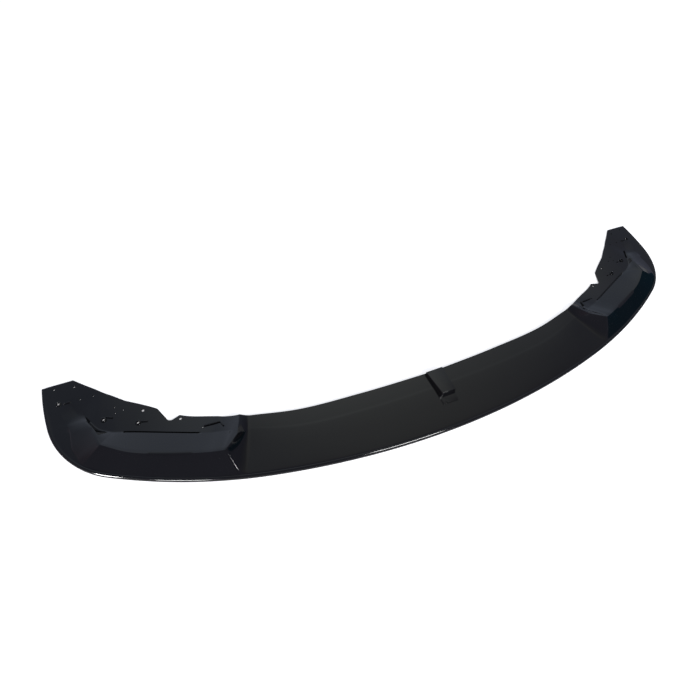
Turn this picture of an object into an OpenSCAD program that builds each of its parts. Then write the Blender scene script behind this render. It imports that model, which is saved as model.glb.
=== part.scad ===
// Front splitter lip: one moulded shell with a raised rim, two blisters and a flat fixing shelf.
// +Z is up, the front of the lip faces -Y, and X runs across the car.
// The origin is the middle of the footprint, on the surface that the lip rests on.

/* [Shell] */
// Thickness of the moulded wall
wall_t = 3; // [2.5:0.1:3.5]
// Height of the turned-down rim along the front
rim_h = 11; // [9:0.5:13]
// Height of the same rim at the two tips
rim_tip_h = 4; // [3.5:0.5:6]
// Width of the rounded top of the rim
rim_w = 8; // [6:0.5:10]
// Radius of its outer edge
rim_round = 5; // [3:0.5:6]

/* [Front outline] */
// Distance from the middle of the footprint to the front of the lip
front_reach = 209; // [205:1:213]
// Radius of the shallow arc at the middle of the front
middle_r = 2045; // [2000:5:2090]
// Angle that it turns from the centre line, in degrees
middle_turn = 12.57; // [12.3:0.01:12.9]
// Radius of the arc in front of a blister
side_r = 1223; // [1190:1:1250]
// Angle that it turns
side_turn = 15.73; // [15.4:0.01:16]
// Radius of the rounded front corner
corner_r = 195; // [185:1:205]
// Angle that it turns
corner_turn = 54.7; // [54:0.1:55.5]
// Radius of the end that runs out to the tip
tip_r = 620; // [600:5:640]
// Angle that it turns
tip_turn = 9.6; // [9:0.1:10.2]

/* [Blisters] */
// Height of the inner front corner of each blister
corner_h = 42; // [38:1:48]
// Height of the crest along the middle of each blister
crest_h = 32; // [26:1:36]
// Height of the ridge where it meets the rear edge
ridge_rear_h = 20; // [16:1:26]
// Height of the seam behind each blister
seam_h = 9; // [7:1:12]

/* [Shelves and centre band] */
// Height of the fixing shelves at their rear edge
shelf_h = 3.5; // [3:0.5:6]
// Height of the centre band at its rear edge
band_rear_h = 9; // [7:0.5:13]
// Height of the centre band at its middle
band_mid_h = 12; // [9:0.5:15]

/* [Seam groove] */
// Width of the seam groove
groove_w = 3.5; // [2:0.5:5]
// Depth of the seam groove
groove_d = 3; // [1:0.5:4]
// Distance from the centre line to the inner end of the groove
groove_from = 566; // [540:2:580]
// Distance from the centre line to the outer end of the groove
groove_to = 710; // [700:2:720]

/* [Fixing holes] */
// Diameter of the screw holes in the shelves
screw_d = 6; // [4:0.5:8]
// Diameter of the small locating holes
pilot_d = 3; // [2:0.5:4]
// Diameter of the screw holes at the tips
tip_d = 4; // [3:0.5:6]
// Diameter of the raised collar round some of the screw holes
collar_d = 12; // [10:0.5:14]
// Height of the collars above the shelf
collar_h = 2.5; // [1:0.5:4]

/* [Ribs] */
// Width of the short ribs on the shelves
rib_w = 3; // [2:0.1:3.5]
// Height of the ribs above the shelf
rib_h = 2.5; // [1:0.1:3]

/* [Centre block] */
// Width of the block at the rear edge
block_rear_w = 46; // [40:1:52]
// Width of the block at its front
block_front_w = 40; // [34:1:46]
// Length of the block from rear to front
block_len = 68; // [60:1:76]
// Height of the top of the block at the rear
block_rear_h = 18; // [15:0.5:21]
// Height of the top of the block at the front
block_front_h = 27; // [22:0.5:30]

/* [Hidden] */
$fn = 40;
through = 120;

// Columns of the mesh between two stations, in the band, inner wall, blister and outer end
band_n = 3;
wall_n = 4;
blister_n = 3;
outer_n = 3;
// Rows of the mesh round the edge of the rim and between two feature lines
round_n = 3;
face_n = 3;
top_n = 3;
shelf_n = 2;

front_arcs = [[middle_r, middle_turn], [side_r, side_turn], [corner_r, corner_turn], [tip_r, tip_turn]];
function total(list, n) = n == 0 ? 0 : list[n - 1] + total(list, n - 1);
function arc_len(arc) = arc[0] * arc[1] * PI / 180;

// Point and heading at a distance s along a chain of tangent arcs
function along(arcs, s, at, heading, n = 0) =
    let (len = arc_len(arcs[n]), last = n == len(arcs) - 1)
    s > len && !last
        ? along(arcs, s - len, turn(arcs[n], len, at, heading), heading + arcs[n][1], n + 1)
        : concat(turn(arcs[n], s, at, heading), [heading + s / arcs[n][0] * 180 / PI]);
function turn(arc, s, at, heading) =
    let (r = arc[0], end = heading + s / r * 180 / PI)
    [at[0] + r * (sin(end) - sin(heading)), at[1] + r * (cos(heading) - cos(end))];

front_len = total([for (arc = front_arcs) arc_len(arc)], len(front_arcs));
function rim_at(s) = along(front_arcs, s, [0, -front_reach], 0);
function inward(s) = let (h = rim_at(s)[2]) [-sin(h), cos(h)];

// Stations across one half of the lip: distance along the front outline, then the points of the
// foot, crest, seam and rear edge on the line that runs from the front to the rear there
band = [
    [0, [0, -200, rim_h], [0, -150, band_mid_h], [0, -100, band_mid_h], [0, -58, band_rear_h]],
    [210, [207, -190, rim_h], [198, -141, band_mid_h], [192, -94, band_mid_h], [186, -51, band_rear_h]],
    [385, [378, -164, rim_h], [368, -118, band_mid_h], [358, -76, band_mid_h], [350, -37, band_rear_h]],
    [500, [489, -138, rim_h], [473, -92, 11], [461, -46, 11.5], [450, -15, band_rear_h + 1.5]],
];
blister = [
    [514, [505, -132, rim_h], [518, -85, corner_h + 1], [487, -57, 35], [471, -9, ridge_rear_h]],
    [520, [511, -131, rim_h], [521, -85, corner_h + 1], [493, -47, 29], [479, -6, 15]],
    [534, [522, -128, rim_h], [527, -84, corner_h], [503, -38, 21], [498, 2, 7]],
    [562, [549, -122, rim_h], [541, -80, corner_h - 2], [523, -31, 16], [517, 10, 5]],
    [600, [582, -112, rim_h], [562, -73, 36], [545, -24, 13], [535, 17, 4]],
    [675, [653, -83, rim_h], [632, -48, crest_h], [620, 6, seam_h + 1], [590, 40, shelf_h]],
    [750, [723, -53, rim_h], [700, -19, crest_h], [690, 34, seam_h], [653, 87, shelf_h]],
    [838, [800, 5, rim_h + 1], [755, 20, 31], [733, 49, seam_h], [700, 119, shelf_h]],
];
outer = [
    [838, [800, 5, rim_h + 1], [755, 20, 31], [733, 49, seam_h], [700, 119, shelf_h]],
    [892, [814, 37, 7], [764, 58, 22], [757, 64, seam_h - 1], [722, 139, shelf_h]],
    [962, [817, 92, 5], [781, 92, 11], [777, 96, 6], [745, 159, shelf_h]],
    [980, [822, 106, shelf_h], [790, 107, 4.5], [784, 112, 4.5], [753, 167, shelf_h]],
    [1025, [838, 155, shelf_h], [814, 160, 4], [797, 168, 4], [775, 187, shelf_h]],
    [front_len, [850, 209, shelf_h], [836, 209, shelf_h], [820, 209, shelf_h], [798, 209, shelf_h]],
];

// Smooth curve through the stations of a stretch, at a fraction f of its interval i
function slope(span, k, i) = (span[i + 1][k] - span[i][k]) / (span[i + 1][0] - span[i][0]);
function tangent(span, k, i) =
    let (last = len(span) - 1)
    i == 0 ? slope(span, k, 0)
        : i == last ? slope(span, k, last - 1)
        : let (before = span[i][0] - span[i - 1][0], after = span[i + 1][0] - span[i][0])
            (slope(span, k, i - 1) * after + slope(span, k, i) * before) / (before + after);
function blend(span, k, i, f) =
    let (h = span[i + 1][0] - span[i][0], f2 = f * f, f3 = f2 * f)
    span[i][k] * (2 * f3 - 3 * f2 + 1) + tangent(span, k, i) * h * (f3 - 2 * f2 + f)
        + span[i + 1][k] * (3 * f2 - 2 * f3) + tangent(span, k, i + 1) * h * (f3 - f2);
function columns(span, n, ends = 0) = [
    for (i = [0:len(span) - 2]) for (c = [0:n - 1 + (i == len(span) - 2 ? ends : 0)])
        [for (k = [0:4]) blend(span, k, i, c / n)]
];
function mix(a, b, f) = a * (1 - f) + b * f;

// The inner wall rises out of the band in a wide fillet and ends in an edge at the top
function rise(f) = f * f * (1.6 - 0.6 * f);
function wall_line(a, b, f) = [
    mix(a[0], b[0], f),
    for (k = [1:4]) [mix(a[k][0], b[k][0], f), mix(a[k][1], b[k][1], f), mix(a[k][2], b[k][2], rise(f))]
];

stations = concat(
    columns(band, band_n),
    [for (i = [0:wall_n - 1]) wall_line(band[len(band) - 1], blister[0], i / wall_n)],
    columns(blister, blister_n),
    columns(outer, outer_n, 1)
);

// The rim keeps its height up to the front corner and falls from there to the tip
rim_fall_from = 838;
function rim_height(s) =
    let (f = max(0, (s - rim_fall_from) / (front_len - rim_fall_from)))
    mix(rim_h, rim_tip_h, f);

// One line of the upper skin, from the bottom of the rim over the crest to the rear edge
function skin_line(st) =
    let (s = st[0], at = rim_at(s), p = [at[0], at[1]], in = inward(s), h = rim_height(s))
    let (r = min(rim_round, h / 2))
    concat(
        [[p[0], p[1], 0]],
        [for (i = [0:round_n]) let (a = 90 * i / round_n) concat(p + in * r * (1 - cos(a)), h - r * (1 - sin(a)))],
        [concat(p + in * rim_w, mix(h, st[1][2], 0.5))],
        [for (i = [0:face_n - 1]) mix(st[1], st[2], i / face_n)],
        [for (i = [0:top_n - 1]) mix(st[2], st[3], i / top_n)],
        [groove_edge(st, st[2], 1), groove_edge(st, st[2], groove_flat) - [0, 0, groove_at(st)]],
        [groove_edge(st, st[4], groove_flat) - [0, 0, groove_at(st)], groove_edge(st, st[4], 1)],
        [for (i = [1:shelf_n]) mix(st[3], st[4], i / shelf_n)]
    );

// The seam groove runs along the seam between its two ends, with a narrow flat bottom
groove_flat = 0.3;
function groove_at(st) = st[3][0] > groove_from && st[3][0] < groove_to ? groove_d : 0;
function groove_edge(st, side, share) = st[3] + unit(side - st[3]) * share * groove_w / 2;

half = [for (st = stations) skin_line(st)];
last_col = len(half) - 1;
top = [for (i = [-last_col:last_col]) [for (q = half[abs(i)]) [i < 0 ? -q[0] : q[0], q[1], q[2]]]];
cols = len(top);
rows = len(top[0]);

// Normal of the skin at a grid point, from its neighbours
function unit(v) = v / norm(v);
function skin_normal(i, j) =
    unit(cross(top[min(i + 1, cols - 1)][j] - top[max(i - 1, 0)][j],
               top[i][min(j + 1, rows - 1)] - top[i][max(j - 1, 0)]));
function under(i, j) = top[i][j] - skin_normal(i, j) * wall_t;
function floor_z(q) = [q[0], q[1], max(0, q[2])];

module skin() {
    upper = [for (i = [0:cols - 1]) for (j = [0:rows - 1]) top[i][j]];
    lower = [for (i = [0:cols - 1]) for (j = [0:rows - 1]) floor_z(under(i, j))];
    shift = cols * rows;
    top_faces = [for (i = [0:cols - 2]) for (j = [0:rows - 2])
        let (a = i * rows + j, b = a + 1, c = a + rows + 1, d = a + rows)
        each [[a, b, c], [a, c, d]]];
    low_faces = [for (f = top_faces) [f[2] + shift, f[1] + shift, f[0] + shift]];
    rim_ids = concat(
        [for (i = [0:cols - 1]) i * rows],
        [for (j = [1:rows - 1]) (cols - 1) * rows + j],
        [for (i = [cols - 2:-1:0]) i * rows + rows - 1],
        [for (j = [rows - 2:-1:1]) j]
    );
    count = len(rim_ids);
    side_faces = [for (k = [0:count - 1])
        let (a = rim_ids[k], b = rim_ids[(k + 1) % count])
        each [[a, b, b + shift], [a, b + shift, a + shift]]];
    polyhedron(concat(upper, lower), concat(top_faces, low_faces, side_faces));
}

// Screw holes in each shelf, as distances from the centre line and from the footprint's middle
screw_holes = [[595, 33], [667, 81], [681, 54], [748, 86], [833, 158]];
tip_holes = [[839, 198], [798, 191]];
pilot_holes = [[554, -6], [706, 97], [723, 109], [723, 94], [789, 155], [762, 154]];
// The single small hole in the foot of the centre block
foot_hole = [-9, -145];
// Screw holes with a collar, each with the height of the shelf there
collars = [[833, 158, 3.5], [681, 54, 7], [748, 86, 7]];
// Ribs on the shelf from one end to the other, each end with the height of the shelf there
ribs = [
    [[810, 155, 4], [821, 155, 4]],
    [[663, 51, 6.5], [673, 54, 7]],
    [[731, 85, 6.5], [741, 90, 6.5]],
    [[549, -4, 9], [515, -6, 10]],
    [[515, -6, 10], [511, -19, 13]]
];
// How far the collars and ribs reach down into the wall
root = 1.5;

module mirrored() {
    children();
    mirror([1, 0, 0]) children();
}

module drill(at, d) {
    translate([at[0], at[1], -through / 2]) cylinder(d = d, h = through);
}

module collar(at) {
    translate([at[0], at[1], at[2] - root]) cylinder(d = collar_d, h = root + collar_h);
}

module rib(from, to) {
    way = to - from;
    flat_len = norm([way[0], way[1]]);
    translate(from) rotate([0, -atan2(way[2], flat_len), atan2(way[1], way[0])])
        translate([-rib_w / 2, -rib_w / 2, -root]) cube([norm(way) + rib_w, rib_w, root + rib_h]);
}

// The notch in the rear edge: a round bottom between a short inner side and a long outer side
notch_r = 9;
notch_mid = [614, 45];
notch_inner = [585, 46];
notch_outer = [643, 88];
// How far behind the rear edge the cut runs on
notch_open_y = 140;
module notch() {
    bottom = [for (a = [245:15:350]) notch_mid + notch_r * [cos(a), sin(a)]];
    behind = [[notch_outer[0], notch_open_y], [notch_inner[0], notch_open_y]];
    translate([0, 0, -through / 2]) linear_extrude(through)
        polygon(concat([notch_inner], bottom, [notch_outer], behind));
}

// The block at the middle of the rear edge, with a sloping front and a low foot before it
block_mid_x = 3;
block_rear_y = -58;
block_sink = 3;
block_slope = 9;
foot_len = 14;
foot_h = 1.5;
edge_w = 1;
module centre_block() {
    front_y = block_rear_y - block_len;
    toe_y = front_y - block_slope;
    base = band_rear_h - block_sink;
    toe_h = band_mid_h + foot_h;
    translate([block_mid_x, 0, base]) {
        hull() {
            crosspiece(block_rear_w, block_rear_y - edge_w, edge_w, block_rear_h - base);
            crosspiece(block_front_w, front_y, edge_w, block_front_h - base);
            crosspiece(block_front_w, toe_y, edge_w, toe_h - base);
        }
        crosspiece(block_front_w, toe_y - foot_len, foot_len + edge_w, toe_h - base);
    }
}
module crosspiece(width, y, depth, height) {
    translate([-width / 2, y, 0]) cube([width, depth, height]);
}

module splitter_lip() {
    color([0.05, 0.05, 0.06]) difference() {
        union() {
            skin();
            centre_block();
            mirrored() {
                for (at = collars) collar(at);
                for (ends = ribs) rib(ends[0], ends[1]);
            }
        }
        mirrored() {
            notch();
            for (at = screw_holes) drill(at, screw_d);
            for (at = tip_holes) drill(at, tip_d);
            for (at = pilot_holes) drill(at, pilot_d);
        }
        drill(foot_hole, pilot_d);
    }
}

splitter_lip();
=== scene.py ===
import bpy
import bmesh
import math
import numpy as np
from mathutils import Matrix, Vector

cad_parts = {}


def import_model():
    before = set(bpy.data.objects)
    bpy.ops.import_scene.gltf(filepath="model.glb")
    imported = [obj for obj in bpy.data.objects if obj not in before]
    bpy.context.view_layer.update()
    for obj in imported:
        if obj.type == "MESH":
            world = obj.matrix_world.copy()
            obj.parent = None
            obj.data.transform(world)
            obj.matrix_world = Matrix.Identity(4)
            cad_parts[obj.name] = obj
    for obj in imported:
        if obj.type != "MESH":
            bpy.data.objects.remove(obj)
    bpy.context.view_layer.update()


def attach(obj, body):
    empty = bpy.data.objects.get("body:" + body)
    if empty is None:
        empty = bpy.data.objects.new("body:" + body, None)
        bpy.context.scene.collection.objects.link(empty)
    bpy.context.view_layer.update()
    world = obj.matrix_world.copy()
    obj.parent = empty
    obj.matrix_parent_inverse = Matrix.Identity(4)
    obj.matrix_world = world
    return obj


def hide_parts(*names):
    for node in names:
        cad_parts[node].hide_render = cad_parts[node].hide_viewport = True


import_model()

MM = 0.001

# Driving sizes of the moulded shell, in millimetres, as in the part's source
WALL = 3.0
RIM_H, RIM_TIP_H, RIM_W, RIM_ROUND = 11.0, 4.0, 6.5, 5.5
FRONT_REACH = 209.0
FRONT_ARCS = [(2045, 12.57), (1223, 15.73), (195, 54.7), (620, 9.6)]
FRONT_LEN = sum(radius * math.radians(degrees) for radius, degrees in FRONT_ARCS)
CORNER_H, CREST_H, RIDGE_REAR_H, SEAM_H = 42.0, 32.0, 20.0, 9.0
SHELF_H, BAND_REAR_H, BAND_MID_H = 3.5, 9.0, 12.0
GROOVE_W, GROOVE_D, GROOVE_FROM, GROOVE_TO = 3.5, 3.0, 566.0, 710.0
GROOVE_FLAT = 0.3
SCREW_D, TIP_D, PILOT_D = 6.0, 4.0, 3.0
COLLAR_D, COLLAR_H, RIB_W, RIB_H, ROOT = 12.0, 2.5, 3.0, 2.5, 1.5
BLOCK_REAR_W, BLOCK_FRONT_W, BLOCK_LEN = 46.0, 40.0, 68.0
BLOCK_REAR_H, BLOCK_FRONT_H = 18.0, 27.0
BLOCK_MID_X, BLOCK_REAR_Y, BLOCK_SINK, BLOCK_SLOPE = 3.0, -58.0, 3.0, 5.5
FOOT_LEN, FOOT_H, FOOT_OVERLAP, FOOT_HOLE = 17.5, 1.5, 1, (-9, -145)
# How far the block leans in on the car's right-hand side: at the rear and the front of its top, and
# at the lower end of its sloping front
BLOCK_LEAN = (1.0, 5.0, 0.0)
# Rounding of the small solids' edges, and how far above their base rounded edges begin
BLOCK_ROUND, FOOT_ROUND, BASE_CLEAR = 0.7, 0.5, 0.1
RIB_ROUND, RIB_CLEAR = 0.6, 0.5
COLLAR_BREAK, COLLAR_ROUND = 0.2, 0.6
BEVEL_STEPS, BEVEL_PROFILE = 3, 0.6
# Distance along the outline from which the rim falls towards the tip
RIM_FALL_FROM = 838.0
# Height of the first row on the rim's front, as a share of the rim's height
RIM_FIRST = 0.3
# Depth of the shallow channel between the rim and the skin behind it
RIM_DIP = 0.6
# Width of the strip between the edge and the foot of the skin. Past the front corner the foot goes
# over, within a stretch of the outline, from a share of its station's place to the whole of it.
RIM_STRIP, FOOT_SHARE, FOOT_FADE = 7.5, 0.3, 25.0
# Height of the small step at the foot of the outer wall, and where along the outline it starts, is
# full, starts to fall and ends
STEP_H = 1.6
STEP_AT = (830, 850, 945, 975)
# How sharply the inner wall turns into its upper edge
WALL_TURN = 0.6

# Stations across one half of the lip: distance along the front outline, then foot, crest, seam
# and rear edge
BAND = [
    (0, (0, -200, RIM_H), (0, -150, BAND_MID_H), (0, -100, BAND_MID_H), (0, -58, BAND_REAR_H)),
    (210, (207, -190, RIM_H), (198, -141, BAND_MID_H), (192, -94, BAND_MID_H),
     (186, -51, BAND_REAR_H)),
    (385, (378, -164, RIM_H), (368, -118, BAND_MID_H), (358, -76, BAND_MID_H),
     (350, -37, BAND_REAR_H)),
    (500, (489, -138, RIM_H), (473, -92, 11), (461, -46, 11.5), (450, -15, BAND_REAR_H + 1.5)),
]
BLISTER = [
    (514, (505, -132, RIM_H), (518, -85, CORNER_H + 1), (487, -57, 35), (471, -9, RIDGE_REAR_H)),
    (520, (511, -131, RIM_H), (521, -85, CORNER_H + 1), (493, -47, 29), (479, -6, 15)),
    (534, (522, -128, RIM_H), (527, -84, CORNER_H), (503, -38, 21), (498, 2, 7)),
    (562, (549, -122, RIM_H), (541, -80, CORNER_H - 2), (523, -31, 16), (517, 10, 5)),
    (600, (582, -112, RIM_H), (562, -73, 36), (545, -24, 13), (535, 17, 4)),
    (675, (653, -83, RIM_H), (632, -48, CREST_H), (620, 6, SEAM_H + 1), (590, 40, SHELF_H)),
    (750, (723, -53, RIM_H), (700, -19, CREST_H), (690, 34, SEAM_H), (653, 87, SHELF_H)),
    (838, (800, 5, RIM_H), (755, 20, 31), (733, 49, SEAM_H), (700, 119, SHELF_H)),
]
OUTER = [
    (838, (800, 5, RIM_H), (755, 20, 31), (733, 49, SEAM_H), (700, 119, SHELF_H)),
    (892, (814, 37, 9.2), (764, 58, 22), (757, 64, SEAM_H - 1), (722, 139, SHELF_H)),
    (962, (817, 92, 6.8), (781, 92, 11.5), (777, 96, 6), (745, 159, SHELF_H)),
    (980, (822, 106, 6), (790, 107, 5.5), (784, 112, 4.5), (753, 167, SHELF_H)),
    (1025, (838, 155, 4.6), (814, 160, 4.2), (797, 168, 4), (775, 187, SHELF_H)),
    (FRONT_LEN, (850, 209, SHELF_H), (836, 209, SHELF_H), (820, 209, SHELF_H), (798, 209, SHELF_H)),
]
SCREW_HOLES = [(595, 33), (667, 81), (681, 54), (748, 86), (833, 158)]
TIP_HOLES = [(839, 198), (798, 191)]
PILOT_HOLES = [(554, -6), (706, 97), (723, 109), (723, 94), (789, 155), (762, 154)]
# Collars and ribs on the shelves, each point with the height of the shelf there
COLLARS = [(833, 158, 3.5), (681, 54, 7), (748, 86, 7)]
RIBS = [((810, 155, 4), (821, 155, 4)), ((663, 51, 6.5), (673, 54, 7)),
        ((731, 85, 6.5), (741, 90, 6.5)), ((549, -4, 9), (515, -6, 10)),
        ((515, -6, 10), (511, -19, 13))]
# Notch in the rear edge: its round end, with the angles of the points on it, and its two sides
NOTCH_R, NOTCH_MID, NOTCH_ANGLES = 9.0, (614, 45), range(245, 351, 7)
NOTCH_INNER, NOTCH_OUTER, NOTCH_REAR_Y = (585, 46), (643, 88), 140
# Heights between which the cutters of all holes reach
CUT_FROM, CUT_TO = -20, 80

# Fineness of the visual mesh: columns between two stations, rows between two feature lines
BAND_N, WALL_N, BLISTER_N, OUTER_N = 20, 14, 12, 12
RIM_N, FACE_N, TOP_N, SHELF_N = 8, 12, 12, 14
# Where the rows of the strip behind the rim lie, and how much the next rows crowd towards its foot
STRIP_SHARES = (0, 0.3, 0.65, 0.95)
FACE_CROWD, CORNER_CROWD = 1.6, 1.6
# First row of the face, and last row before the bottom of the seam groove
FACE_ROW = RIM_N + 3 + len(STRIP_SHARES)
GROOVE_ROW = FACE_ROW + FACE_N + TOP_N
# How far each point moves to the middle of its neighbours, and passes over the band's crown
SMOOTH_SHARE, BAND_PASSES = 0.5, 200
# Angle in degrees from which an edge is shaded sharp
SHARP_ANGLE = 38

# Gloss black: orange peel, haze of the polish, roughness and base colour from least to most haze
PEEL_SCALE, PEEL_DETAIL, PEEL_STRENGTH, PEEL_DEPTH = 260, 2, 0.012, 0.0004
HAZE_SCALE, HAZE_DETAIL = 14, 5
ROUGHNESS = (0.05, 0.11)
BLACKS = ((0.0022, 0.0022, 0.0025, 1), (0.0034, 0.0034, 0.0038, 1))
WHITE = (1, 1, 1, 1)
# Sockets of a node that mixes colours, whose names are not unique
MIX_A, MIX_B, MIX_RESULT = 6, 7, 2

# Camera, worked out from the photograph in its 700 by 700 frame
IMAGE_SIDE = 700.0
FOCAL_PX = 450.0
SENSOR_MM = 36.0
CAM_AZ, CAM_EL, CAM_ROLL = -31.18, 58.594, 9.986
CAM_AT = Vector((-0.4742, -0.4353, 0.9731))

# Studio surround: one even tone, and soft patches that add to it. Each patch has the direction of
# its middle, the angles from there at which it is full and has faded out, and what it adds.
EVEN_TONE = (0.16, 0.165, 0.232)
PATCHES = [
    ((0, 1, 0), 42, 80, (0.19, 0.24, 0.27)),
    ((-0.1, 1, 0.12), 18, 46, (0.20, 0.21, 0.25)),
    ((0.28, 0.55, 0.79), 6, 30, (0.41, 0.42, 0.36)),
    ((-0.91, 0.24, 0.34), 12, 34, (0.09, 0.04, 0.04)),
    ((0.35, 0.1, 0.93), 8, 42, (0.10, 0.10, 0.06)),
]
# Dark card at the right: nearest and farthest corner, and its tone
CARD = ((1.5, -0.85, 0.0), (1.5, 0.15, 0.4))
CARD_TONE = (0.012, 0.05, 0.085)
# Floor: half its side, its tone, its tone as the gloss mirrors it, how white it shows, and how far
# and how dark the shadow close to the lip is
FLOOR_SIDE = 12.0
FLOOR_TONE, FLOOR_MIRRORED = (0.8, 0.8, 0.8, 1), (0.4, 0.4, 0.4, 1)
FLOOR_GLOW, SHADOW_REACH, SHADOW_LEAST = 0.75, 0.015, 0.45
# Area lights: name, place, size and power
LIGHTS = [
    ("front", (0.485, -1.84, 1.7), (0.76, 0.4), 46),
    ("front_left", (-1.98, -2.06, 0.16), (0.62, 0.24), 36),
    ("left", (-2.74, -1.4, 0.32), (0.55, 0.6), 100),
]


def arc_end(arc_r, length, at, heading):
    """Point and heading at the end of an arc."""
    end = heading + length / arc_r
    return (at[0] + arc_r * (math.sin(end) - math.sin(heading)),
            at[1] + arc_r * (math.cos(heading) - math.cos(end))), end


def rim_at(s):
    """Point and heading on the front outline, at a distance from the centre line."""
    at, heading = (0.0, -FRONT_REACH), 0.0
    for n, (radius, degrees) in enumerate(FRONT_ARCS):
        length = radius * math.radians(degrees)
        if s <= length or n == len(FRONT_ARCS) - 1:
            return arc_end(radius, s, at, heading)
        at, heading = arc_end(radius, length, at, heading)
        s -= length


def slope(span, k, i):
    """Change of a station's item k per millimetre of outline, between station i and the next."""
    return (span[i + 1][k] - span[i][k]) / (span[i + 1][0] - span[i][0])


def tangent(span, k, i):
    """Slope of item k at station i itself."""
    last = len(span) - 1
    if i == 0:
        return slope(span, k, 0)
    if i == last:
        return slope(span, k, last - 1)
    before, after = span[i][0] - span[i - 1][0], span[i + 1][0] - span[i][0]
    return (slope(span, k, i - 1) * after + slope(span, k, i) * before) / (before + after)


def columns(span, n, ends=0, crowd_first=1.0, crowd_last=1.0):
    """Lines of a smooth surface through the stations of one stretch, n to an interval, and with
    ends=1 also the last line. They crowd towards an end of the stretch where the surface turns."""
    span = [[np.array(value, float) for value in st] for st in span]
    made = []
    for i in range(len(span) - 1):
        h = span[i + 1][0] - span[i][0]
        for c in range(n + (ends if i == len(span) - 2 else 0)):
            f = c / n
            if i == 0:
                f = f ** crowd_first
            if i == len(span) - 2:
                f = 1 - (1 - f) ** crowd_last
            f2, f3 = f * f, f * f * f
            made.append([span[i][k] * (2 * f3 - 3 * f2 + 1)
                         + tangent(span, k, i) * h * (f3 - 2 * f2 + f)
                         + span[i + 1][k] * (3 * f2 - 2 * f3)
                         + tangent(span, k, i + 1) * h * (f3 - f2)
                         for k in range(len(span[i]))])
    return made


def rise(f):
    """Height of the inner wall: out of the band in a wide fillet, into an edge at the top."""
    return f * f * (1 + WALL_TURN - WALL_TURN * f)


def mix(a, b, f):
    """Value between a and b."""
    return np.asarray(a, float) * (1 - f) + np.asarray(b, float) * f


def wall_line(a, b, f):
    """A line on the inner wall, between the band's last station and the blister's first."""
    line = [mix(a[0], b[0], f)]
    for low, high in zip(a[1:], b[1:]):
        point = mix(low, high, f)
        point[2] = mix(low[2], high[2], rise(f))
        line.append(point)
    return line


def all_stations():
    """Every line of one half, from the centre line to the tip."""
    wall = [wall_line(BAND[-1], BLISTER[0], i / WALL_N) for i in range(WALL_N)]
    return (columns(BAND, BAND_N) + wall + columns(BLISTER, BLISTER_N, crowd_last=CORNER_CROWD)
            + columns(OUTER, OUTER_N, 1, crowd_first=CORNER_CROWD))


def skin_line(st):
    """One line of the upper skin, from the bottom of the rim over the crest to the rear edge."""
    s = float(st[0])
    (px, py), heading = rim_at(s)
    inward = np.array([-math.sin(heading), math.cos(heading), 0.0])
    base = np.array([px, py, 0.0])
    fall = max(0.0, (s - RIM_FALL_FROM) / (FRONT_LEN - RIM_FALL_FROM))
    h = RIM_H + (RIM_TIP_H - RIM_H) * fall
    foot, crest, seam, rear = st[1:]
    brow = base + inward * RIM_STRIP
    brow[2] = foot[2]
    keep = FOOT_SHARE + (1 - FOOT_SHARE) * min(1.0, max(0.0, (s - RIM_FALL_FROM) / FOOT_FADE))
    foot = brow + (foot - brow) * keep
    line = [base, base + np.array([0, 0, h * RIM_FIRST])]
    round_r = min(RIM_ROUND, h / 2)
    for i in range(RIM_N + 1):
        a = math.pi / 2 * i / RIM_N
        line.append(base + inward * round_r * (1 - math.cos(a))
                    + np.array([0, 0, h - round_r * (1 - math.sin(a))]))
    inner = base + inward * RIM_W
    inner[2] = (h + foot[2]) / 2 - RIM_DIP * (1 - fall)
    line += [inner + (foot - inner) * share for share in STRIP_SHARES]
    foot = foot + np.array([0, 0, STEP_H * np.interp(s, STEP_AT, (0, 1, 1, 0))])
    line += [foot + (crest - foot) * (i / FACE_N) ** FACE_CROWD for i in range(FACE_N)]
    line += [crest + (seam - crest) * i / TOP_N for i in range(TOP_N)]
    before, after = crest - seam, rear - seam
    before = before / np.linalg.norm(before) * GROOVE_W / 2
    after = after / np.linalg.norm(after) * GROOVE_W / 2
    line += [seam + before, seam + before * GROOVE_FLAT, seam + after * GROOVE_FLAT, seam + after]
    line += [seam + (rear - seam) * i / SHELF_N for i in range(1, SHELF_N + 1)]
    return np.array(line)


def soften_band(half):
    """Rounds the crown of the centre band from front to rear, less and less towards the wall."""
    reach = (len(BAND) - 1) * BAND_N
    share = np.clip((reach - np.arange(reach)) / BAND_N, 0, 1)[:, None]
    strip = half[:reach, FACE_ROW:, 2]
    for _ in range(BAND_PASSES):
        strip[:, 1:-1] += (strip[:, :-2] + strip[:, 2:] - 2 * strip[:, 1:-1]) / 4 * share


def upper_grid():
    """Points of the whole upper skin, smoothed once behind the rim, with the seam grooves."""
    half = np.array([skin_line(st) for st in all_stations()])
    soften_band(half)
    other = half[:0:-1].copy()
    other[:, :, 0] *= -1
    grid = np.concatenate([other, half])
    inner = grid[1:-1, 1:-1]
    around = (grid[:-2, 1:-1] + grid[2:, 1:-1] + grid[1:-1, :-2] + grid[1:-1, 2:]) / 4
    share = np.full(grid.shape[1] - 2, SMOOTH_SHARE)
    share[:FACE_ROW - 1] = 0
    grid[1:-1, 1:-1] = inner + (around - inner) * share[None, :, None]
    bottom = grid[:, GROOVE_ROW + 1:GROOVE_ROW + 3]
    in_groove = (np.abs(bottom[:, :, 0]) > GROOVE_FROM) & (np.abs(bottom[:, :, 0]) < GROOVE_TO)
    bottom[:, :, 2] -= GROOVE_D * in_groove
    return grid


def lower_grid(grid):
    """Points of the underside: the upper skin moved in by the wall, but never below the floor."""
    along = np.gradient(grid, axis=0)
    across = np.gradient(grid, axis=1)
    normal = np.cross(along, across)
    normal /= np.linalg.norm(normal, axis=2, keepdims=True)
    low = grid - normal * WALL
    low[:, :, 2] = np.maximum(low[:, :, 2], 0)
    return low


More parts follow.
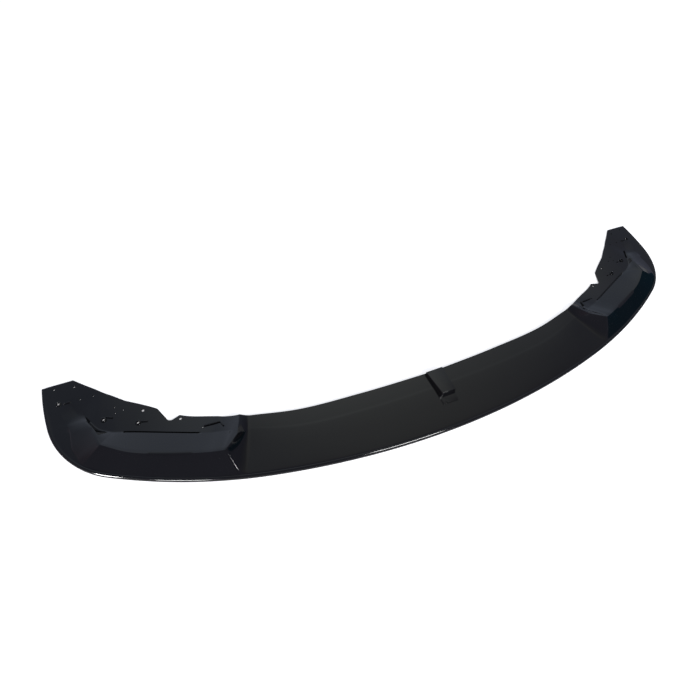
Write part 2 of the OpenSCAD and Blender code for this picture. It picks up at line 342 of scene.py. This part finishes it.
def new_object(name, vertices, faces):
    """A mesh object in the scene."""
    mesh = bpy.data.meshes.new(name)
    mesh.from_pydata([tuple(v) for v in vertices], [], faces)
    mesh.update()
    obj = bpy.data.objects.new(name, mesh)
    bpy.context.scene.collection.objects.link(obj)
    return obj


def shell():
    """The closed thin shell, from the upper skin, the underside and a ring between them."""
    top = upper_grid()
    low = lower_grid(top)
    cols, rows = top.shape[:2]
    shift = cols * rows
    vertices = np.concatenate([top.reshape(-1, 3), low.reshape(-1, 3)]) * MM
    quads = []
    for i in range(cols - 1):
        for j in range(rows - 1):
            a = i * rows + j
            quads.append((a, a + rows, a + rows + 1, a + 1))
    faces = quads + [tuple(v + shift for v in reversed(q)) for q in quads]
    ring = ([i * rows for i in range(cols)]
            + [(cols - 1) * rows + j for j in range(1, rows)]
            + [i * rows + rows - 1 for i in range(cols - 2, -1, -1)]
            + list(range(rows - 2, 0, -1)))
    for k, a in enumerate(ring):
        b = ring[(k + 1) % len(ring)]
        faces.append((b, a, a + shift, b + shift))
    return new_object("lip_shell", vertices, faces)


def prism(points, low, high):
    """Vertices and faces of an upright prism over a plan outline."""
    n = len(points)
    vertices = [(x * MM, y * MM, low * MM) for x, y in points]
    vertices += [(x * MM, y * MM, high * MM) for x, y in points]
    faces = [tuple(reversed(range(n))), tuple(range(n, 2 * n))]
    faces += [(k, (k + 1) % n, n + (k + 1) % n, n + k) for k in range(n)]
    return vertices, faces


def rounded(obj, offset, lowest):
    """Rounds the edges of a small solid that lie above a height."""
    bm = bmesh.new()
    bm.from_mesh(obj.data)
    edges = [e for e in bm.edges if max(v.co.z for v in e.verts) > lowest * MM]
    bmesh.ops.bevel(bm, geom=edges, offset=offset * MM, segments=BEVEL_STEPS, affect="EDGES",
                    profile=BEVEL_PROFILE)
    bm.to_mesh(obj.data)
    bm.free()
    return obj


def circle(x, y, d, steps=24):
    """Plan outline of a round hole."""
    angles = [2 * math.pi * k / steps for k in range(steps)]
    return [(x + d / 2 * math.cos(a), y + d / 2 * math.sin(a)) for a in angles]


def notch_outline():
    """Plan outline of the cutter for a notch in the rear edge."""
    (x, y), angles = NOTCH_MID, [math.radians(a) for a in NOTCH_ANGLES]
    arc = [(x + NOTCH_R * math.cos(a), y + NOTCH_R * math.sin(a)) for a in angles]
    behind = [(NOTCH_OUTER[0], NOTCH_REAR_Y), (NOTCH_INNER[0], NOTCH_REAR_Y)]
    return [NOTCH_INNER] + arc + [NOTCH_OUTER] + behind


def cutters():
    """Cutters of all notches and holes, as one object."""
    outlines = [notch_outline()]
    outlines += [circle(x, y, SCREW_D) for x, y in SCREW_HOLES]
    outlines += [circle(x, y, TIP_D) for x, y in TIP_HOLES]
    outlines += [circle(x, y, PILOT_D) for x, y in PILOT_HOLES]
    outlines += [[(-x, y) for x, y in reversed(o)] for o in outlines]
    outlines.append(circle(*FOOT_HOLE, PILOT_D))
    vertices, faces = [], []
    for outline in outlines:
        v, f = prism(outline, CUT_FROM, CUT_TO)
        faces += [tuple(i + len(vertices) for i in face) for face in f]
        vertices += v
    return new_object("cutters", vertices, faces)


def rib(start, end):
    """A short rib that follows the slope of the shelf between two points."""
    start, end = np.array(start, float), np.array(end, float)
    along = (end - start) / np.linalg.norm(end - start)
    side = np.cross([0, 0, 1], along)
    side /= np.linalg.norm(side)
    up = np.cross(along, side)
    corners = []
    for at in (start - along * RIB_W / 2, end + along * RIB_W / 2):
        for y, z in ((-1, -ROOT), (1, -ROOT), (1, RIB_H), (-1, RIB_H)):
            corners.append((at + side * y * RIB_W / 2 + up * z) * MM)
    faces = [(0, 3, 2, 1), (4, 5, 6, 7), (0, 1, 5, 4), (1, 2, 6, 5), (2, 3, 7, 6), (3, 0, 4, 7)]
    lowest = min(start[2], end[2]) + RIB_CLEAR
    return rounded(new_object("rib", corners, faces), RIB_ROUND, lowest)


def collar(x, y, z, steps=40):
    """A ring with a softened outer edge, standing in the wall round a screw hole."""
    bore, outer, top = SCREW_D / 2, COLLAR_D / 2, z + COLLAR_H
    profile = [(bore, z - ROOT), (bore, top - COLLAR_BREAK), (bore + COLLAR_BREAK, top),
               (outer - COLLAR_ROUND, top), (outer - COLLAR_BREAK, top - COLLAR_BREAK),
               (outer, top - COLLAR_ROUND), (outer, z - ROOT)]
    n = len(profile)
    vertices, faces = [], []
    for k in range(steps):
        a = 2 * math.pi * k / steps
        vertices += [((x + r * math.cos(a)) * MM, (y + r * math.sin(a)) * MM, h * MM)
                     for r, h in profile]
        for j in range(n):
            here, there = k * n, (k + 1) % steps * n
            faces.append((here + j, here + (j + 1) % n, there + (j + 1) % n, there + j))
    return new_object("collar", vertices, faces)


def shelf_details():
    """Collars and ribs of both shelves, as small solids that stand in the wall."""
    made = []
    for side in (1, -1):
        made += [collar(side * x, y, z) for x, y, z in COLLARS]
        made += [rib((side * a[0], a[1], a[2]), (side * b[0], b[1], b[2])) for a, b in RIBS]
    return made


def centre_block():
    """The block at the middle of the rear edge: wedge top, sloping front, softened edges."""
    base = BAND_REAR_H - BLOCK_SINK
    front_y = BLOCK_REAR_Y - BLOCK_LEN
    sections = [(BLOCK_REAR_W, BLOCK_REAR_Y, BLOCK_REAR_H), (BLOCK_FRONT_W, front_y, BLOCK_FRONT_H),
                (BLOCK_FRONT_W, front_y - BLOCK_SLOPE, BAND_MID_H + FOOT_H)]
    vertices = []
    for (w, y, h), lean in zip(sections, BLOCK_LEAN):
        for side, z, shift in ((-1, base, 0), (-1, h, lean), (1, h, 0), (1, base, 0)):
            vertices.append(((BLOCK_MID_X + side * w / 2 + shift) * MM, y * MM, z * MM))
    faces = [(0, 1, 2, 3), (11, 10, 9, 8)]
    for k in (0, 4):
        faces += [(k + j, k + 4 + j, k + 4 + (j + 1) % 4, k + (j + 1) % 4) for j in range(4)]
    block = new_object("block", vertices, faces)
    return rounded(block, BLOCK_ROUND, base + BASE_CLEAR)


def centre_foot():
    """The low pad in front of the block, which reaches a little into it."""
    base = BAND_REAR_H - BLOCK_SINK
    front_y = BLOCK_REAR_Y - BLOCK_LEN - BLOCK_SLOPE - FOOT_LEN
    rear_y = BLOCK_REAR_Y - BLOCK_LEN - BLOCK_SLOPE + FOOT_OVERLAP
    left, right = BLOCK_MID_X - BLOCK_FRONT_W / 2, BLOCK_MID_X + BLOCK_FRONT_W / 2
    points = [(left, front_y), (right, front_y), (right, rear_y), (left, rear_y)]
    pad = new_object("foot", *prism(points, base, BAND_MID_H + FOOT_H))
    return rounded(pad, FOOT_ROUND, base + BASE_CLEAR)


def apply_boolean(obj, other, operation):
    """Joins or cuts one object with another, which is then removed."""
    mod = obj.modifiers.new("cut", "BOOLEAN")
    mod.operation = operation
    mod.solver = "EXACT"
    mod.object = other
    bpy.context.view_layer.update()
    graph = bpy.context.evaluated_depsgraph_get()
    mesh = bpy.data.meshes.new_from_object(obj.evaluated_get(graph))
    obj.modifiers.clear()
    obj.data = mesh
    bpy.data.objects.remove(other, do_unlink=True)


def join(mesh, others):
    """Adds other objects' meshes to a mesh and removes those objects."""
    bm = bmesh.new()
    bm.from_mesh(mesh)
    for other in others:
        bm.from_mesh(other.data)
        bpy.data.objects.remove(other, do_unlink=True)
    bm.to_mesh(mesh)
    bm.free()


def node_material(name):
    """A new material, with its nodes and links."""
    mat = bpy.data.materials.new(name)
    mat.use_nodes = True
    return mat, mat.node_tree.nodes, mat.node_tree.links


def colour_mix(nodes, first, second):
    """A node that mixes two colours."""
    node = nodes.new("ShaderNodeMix")
    node.data_type = "RGBA"
    node.inputs[MIX_A].default_value = first
    node.inputs[MIX_B].default_value = second
    return node


def noise(nodes, links, place, scale, detail):
    """A noise texture that keeps to the object."""
    node = nodes.new("ShaderNodeTexNoise")
    node.inputs["Scale"].default_value = scale
    node.inputs["Detail"].default_value = detail
    links.new(place.outputs["Object"], node.inputs["Vector"])
    return node


def gloss_black():
    """High gloss black moulding, with faint orange peel and fine unevenness in its polish."""
    mat, nodes, links = node_material("gloss_black")
    bsdf = nodes["Principled BSDF"]
    place = nodes.new("ShaderNodeTexCoord")

    peel = noise(nodes, links, place, PEEL_SCALE, PEEL_DETAIL)
    bump = nodes.new("ShaderNodeBump")
    bump.inputs["Strength"].default_value = PEEL_STRENGTH
    bump.inputs["Distance"].default_value = PEEL_DEPTH
    links.new(peel.outputs["Fac"], bump.inputs["Height"])
    links.new(bump.outputs["Normal"], bsdf.inputs["Normal"])

    haze = noise(nodes, links, place, HAZE_SCALE, HAZE_DETAIL)
    polish = nodes.new("ShaderNodeMapRange")
    polish.inputs["To Min"].default_value, polish.inputs["To Max"].default_value = ROUGHNESS
    links.new(haze.outputs["Fac"], polish.inputs["Value"])
    links.new(polish.outputs["Result"], bsdf.inputs["Roughness"])

    tint = colour_mix(nodes, *BLACKS)
    links.new(haze.outputs["Fac"], tint.inputs["Factor"])
    links.new(tint.outputs[MIX_RESULT], bsdf.inputs["Base Color"])
    return mat


def splitter_lip():
    """The whole lip as one mesh, in place of the solid."""
    lip = shell()
    apply_boolean(lip, centre_block(), "UNION")
    apply_boolean(lip, centre_foot(), "UNION")
    apply_boolean(lip, cutters(), "DIFFERENCE")
    mesh = lip.data
    join(mesh, shelf_details())
    mesh.shade_smooth()
    mesh.set_sharp_from_angle(angle=math.radians(SHARP_ANGLE))
    mesh.materials.clear()
    mesh.materials.append(gloss_black())
    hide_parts("splitter_lip")
    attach(lip, "root")
    return lip


def camera():
    """The photograph's camera."""
    a, e, r = map(math.radians, (CAM_AZ, CAM_EL, CAM_ROLL))
    back = Vector((math.sin(a) * math.cos(e), -math.cos(a) * math.cos(e), math.sin(e)))
    right = (-back).cross(Vector((0, 0, 1))).normalized()
    up = right.cross(-back)
    right, up = math.cos(r) * right + math.sin(r) * up, math.cos(r) * up - math.sin(r) * right
    data = bpy.data.cameras.new("camera")
    data.lens = FOCAL_PX / IMAGE_SIDE * SENSOR_MM
    data.sensor_width = SENSOR_MM
    cam = bpy.data.objects.new("camera", data)
    cam.matrix_world = Matrix.Translation(CAM_AT) @ Matrix((right, up, back)).transposed().to_4x4()
    bpy.context.scene.collection.objects.link(cam)
    bpy.context.scene.camera = cam


def floor():
    """A pale floor that shows as white to the camera and keeps the shadow close under the lip."""
    side = FLOOR_SIDE
    corners = [(-side, -side, 0), (side, -side, 0), (side, side, 0), (-side, side, 0)]
    obj = new_object("floor", corners, [(0, 1, 2, 3)])
    mat, nodes, links = node_material("floor")
    nodes.clear()
    out = nodes.new("ShaderNodeOutputMaterial")
    white = nodes.new("ShaderNodeBsdfDiffuse")
    seen = colour_mix(nodes, FLOOR_TONE, FLOOR_MIRRORED)
    links.new(seen.outputs[MIX_RESULT], white.inputs["Color"])
    glow = nodes.new("ShaderNodeEmission")
    glow.inputs["Strength"].default_value = FLOOR_GLOW
    rays = nodes.new("ShaderNodeLightPath")
    links.new(rays.outputs["Is Glossy Ray"], seen.inputs["Factor"])
    near = nodes.new("ShaderNodeAmbientOcclusion")
    near.inputs["Distance"].default_value = SHADOW_REACH
    least = nodes.new("ShaderNodeMapRange")
    least.inputs["To Min"].default_value = SHADOW_LEAST
    links.new(near.outputs["AO"], least.inputs["Value"])
    links.new(least.outputs["Result"], glow.inputs["Color"])
    off = nodes.new("ShaderNodeEmission")
    off.inputs["Strength"].default_value = 0
    pick = nodes.new("ShaderNodeMixShader")
    links.new(rays.outputs["Is Camera Ray"], pick.inputs[0])
    links.new(off.outputs[0], pick.inputs[1])
    links.new(glow.outputs[0], pick.inputs[2])
    both = nodes.new("ShaderNodeAddShader")
    links.new(white.outputs[0], both.inputs[0])
    links.new(pick.outputs[0], both.inputs[1])
    links.new(both.outputs[0], out.inputs["Surface"])
    obj.data.materials.append(mat)


def world():
    """Studio surround: an even tone and its soft patches, and plain white to the camera."""
    scene_world = bpy.data.worlds.new("studio")
    bpy.context.scene.world = scene_world
    scene_world.use_nodes = True
    nodes, links = scene_world.node_tree.nodes, scene_world.node_tree.links
    back = nodes["Background"]
    place = nodes.new("ShaderNodeTexCoord")
    tone = nodes.new("ShaderNodeVectorMath")
    tone.operation = "ADD"
    tone.inputs[0].default_value = EVEN_TONE
    for middle, full, faded, adds in PATCHES:
        lean = nodes.new("ShaderNodeVectorMath")
        lean.operation = "DOT_PRODUCT"
        lean.inputs[1].default_value = Vector(middle).normalized()
        links.new(place.outputs["Generated"], lean.inputs[0])
        away = nodes.new("ShaderNodeMath")
        away.operation = "ARCCOSINE"
        away.use_clamp = False
        links.new(lean.outputs["Value"], away.inputs[0])
        share = nodes.new("ShaderNodeMapRange")
        share.inputs["From Min"].default_value = math.radians(faded)
        share.inputs["From Max"].default_value = math.radians(full)
        links.new(away.outputs[0], share.inputs["Value"])
        part = nodes.new("ShaderNodeVectorMath")
        part.operation = "SCALE"
        part.inputs[0].default_value = adds
        links.new(share.outputs["Result"], part.inputs["Scale"])
        more = nodes.new("ShaderNodeVectorMath")
        more.operation = "ADD"
        links.new(tone.outputs["Vector"], more.inputs[0])
        links.new(part.outputs["Vector"], more.inputs[1])
        tone = more
    rays = nodes.new("ShaderNodeLightPath")
    seen = colour_mix(nodes, WHITE, WHITE)
    links.new(rays.outputs["Is Camera Ray"], seen.inputs["Factor"])
    links.new(tone.outputs["Vector"], seen.inputs[MIX_A])
    links.new(seen.outputs[MIX_RESULT], back.inputs["Color"])
    back.inputs["Strength"].default_value = 1.0


def dark_card():
    """A dark card beside the right end, which only the gloss mirrors."""
    (x, y0, z0), (_, y1, z1) = CARD
    obj = new_object("card", [(x, y0, z0), (x, y1, z0), (x, y1, z1), (x, y0, z1)], [(0, 1, 2, 3)])
    mat, nodes, links = node_material("card")
    nodes.clear()
    glow = nodes.new("ShaderNodeEmission")
    glow.inputs["Color"].default_value = (*CARD_TONE, 1)
    out = nodes.new("ShaderNodeOutputMaterial")
    links.new(glow.outputs[0], out.inputs["Surface"])
    obj.data.materials.append(mat)
    obj.visible_camera = obj.visible_diffuse = obj.visible_shadow = False


def area_light(name, at, size, power):
    """An area light that faces the middle of the lip."""
    data = bpy.data.lights.new(name, "AREA")
    data.shape = "RECTANGLE"
    data.size, data.size_y = size
    data.energy = power
    obj = bpy.data.objects.new(name, data)
    obj.location = at
    obj.rotation_mode = "QUATERNION"
    obj.rotation_quaternion = (-Vector(at)).to_track_quat("-Z", "Y")
    bpy.context.scene.collection.objects.link(obj)


splitter_lip()
camera()
floor()
world()
dark_card()
for light in LIGHTS:
    area_light(*light)
bpy.context.scene.view_settings.view_transform = "Standard"
